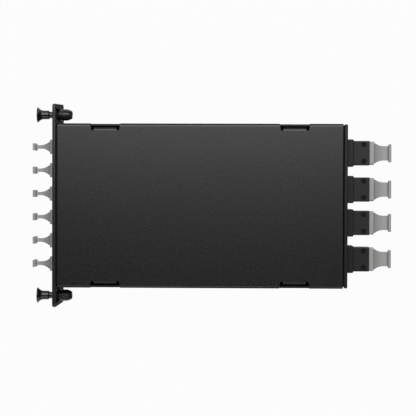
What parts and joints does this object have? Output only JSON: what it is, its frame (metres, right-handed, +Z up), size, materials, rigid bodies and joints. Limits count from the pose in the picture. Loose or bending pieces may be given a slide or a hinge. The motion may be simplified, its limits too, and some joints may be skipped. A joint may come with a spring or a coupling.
{
  "type": "fibre cassette",
  "caption": "Flat black rack cassette that converts fibre array ports at its rear to array ports in its eared front panel; with push-pull latches and dust caps.",
  "frame": {"origin": "under the middle of the whole cassette, at the level of the front panel's lower edge", "axes": "+X from the front panel to the rear ports, +Y towards the left ear (the end with the key rib), +Z up through the cover"},
  "size_m": [0.1948, 0.1102, 0.035],
  "materials": {
    "powder_coated_sheet": "matte black powder coat",
    "panel_plastic": "matte black moulding",
    "latch_plastic": "glossy black moulding",
    "adapter_plastic": "satin black moulding",
    "cap_plastic": "matte light grey moulding",
    "plug_plastic": "satin black moulding",
    "fibre_jacket": "satin aqua jacket",
    "holder_plastic": "matte black moulding",
    "spring_steel": "brushed",
    "screw_steel": "blackened"
  },
  "bodies": {
    "cassette": {"base_tray": "powder_coated_sheet", "cover": "powder_coated_sheet", "rear_panel": "powder_coated_sheet", "front_panel": "panel_plastic", "latch_grommet_left": "latch_plastic", "latch_grommet_right": "latch_plastic", "adapter_clips": "spring_steel", "front_retainer": "spring_steel", "fibre_holder": "holder_plastic", "base_screws": "screw_steel", "retainer_screws": "screw_steel", "front_adapter_1": "adapter_plastic", "front_plug_1": "plug_plastic", "front_adapter_2": "adapter_plastic", "front_plug_2": "plug_plastic", "front_adapter_3": "adapter_plastic", "front_plug_3": "plug_plastic", "front_adapter_4": "adapter_plastic", "front_plug_4": "plug_plastic", "front_adapter_5": "adapter_plastic", "front_plug_5": "plug_plastic", "front_adapter_6": "adapter_plastic", "front_plug_6": "plug_plastic", "rear_adapter_1": "adapter_plastic", "rear_plug_1": "plug_plastic", "rear_adapter_2": "adapter_plastic", "rear_plug_2": "plug_plastic", "rear_adapter_3": "adapter_plastic", "rear_plug_3": "plug_plastic", "rear_adapter_4": "adapter_plastic", "rear_plug_4": "plug_plastic", "fibre_bundle_1": "fibre_jacket", "fibre_bundle_2": "fibre_jacket", "fibre_bundle_3": "fibre_jacket", "fibre_bundle_4": "fibre_jacket", "fibre_bundle_5": "fibre_jacket", "fibre_bundle_6": "fibre_jacket", "fibre_bundle_7": "fibre_jacket", "fibre_bundle_8": "fibre_jacket"},
    "plunger_left": {"latch_plunger_left": "latch_plastic"},
    "plunger_right": {"latch_plunger_right": "latch_plastic"},
    "front_cap_1": {"front_dust_cap_1": "cap_plastic"},
    "front_cap_2": {"front_dust_cap_2": "cap_plastic"},
    "front_cap_3": {"front_dust_cap_3": "cap_plastic"},
    "front_cap_4": {"front_dust_cap_4": "cap_plastic"},
    "front_cap_5": {"front_dust_cap_5": "cap_plastic"},
    "front_cap_6": {"front_dust_cap_6": "cap_plastic"},
    "rear_cap_1": {"rear_dust_cap_1": "cap_plastic"},
    "rear_cap_2": {"rear_dust_cap_2": "cap_plastic"},
    "rear_cap_3": {"rear_dust_cap_3": "cap_plastic"},
    "rear_cap_4": {"rear_dust_cap_4": "cap_plastic"}
  },
  "joints": [
    {"name": "plunger_left_push", "type": "slide", "parent": "cassette", "child": "plunger_left", "axis": [1, 0, 0], "range_m": [0, 0.0023]},
    {"name": "plunger_right_push", "type": "slide", "parent": "cassette", "child": "plunger_right", "axis": [1, 0, 0], "range_m": [0, 0.0023]},
    {"name": "front_cap_1_pull", "type": "slide", "parent": "cassette", "child": "front_cap_1", "axis": [-1, 0, 0], "range_m": [0, 0.008]},
    {"name": "front_cap_2_pull", "type": "slide", "parent": "cassette", "child": "front_cap_2", "axis": [-1, 0, 0], "range_m": [0, 0.008]},
    {"name": "front_cap_3_pull", "type": "slide", "parent": "cassette", "child": "front_cap_3", "axis": [-1, 0, 0], "range_m": [0, 0.008]},
    {"name": "front_cap_4_pull", "type": "slide", "parent": "cassette", "child": "front_cap_4", "axis": [-1, 0, 0], "range_m": [0, 0.008]},
    {"name": "front_cap_5_pull", "type": "slide", "parent": "cassette", "child": "front_cap_5", "axis": [-1, 0, 0], "range_m": [0, 0.008]},
    {"name": "front_cap_6_pull", "type": "slide", "parent": "cassette", "child": "front_cap_6", "axis": [-1, 0, 0], "range_m": [0, 0.008]},
    {"name": "rear_cap_1_pull", "type": "slide", "parent": "cassette", "child": "rear_cap_1", "axis": [1, 0, 0], "range_m": [0, 0.008]},
    {"name": "rear_cap_2_pull", "type": "slide", "parent": "cassette", "child": "rear_cap_2", "axis": [1, 0, 0], "range_m": [0, 0.008]},
    {"name": "rear_cap_3_pull", "type": "slide", "parent": "cassette", "child": "rear_cap_3", "axis": [1, 0, 0], "range_m": [0, 0.008]},
    {"name": "rear_cap_4_pull", "type": "slide", "parent": "cassette", "child": "rear_cap_4", "axis": [1, 0, 0], "range_m": [0, 0.008]}
  ]
}
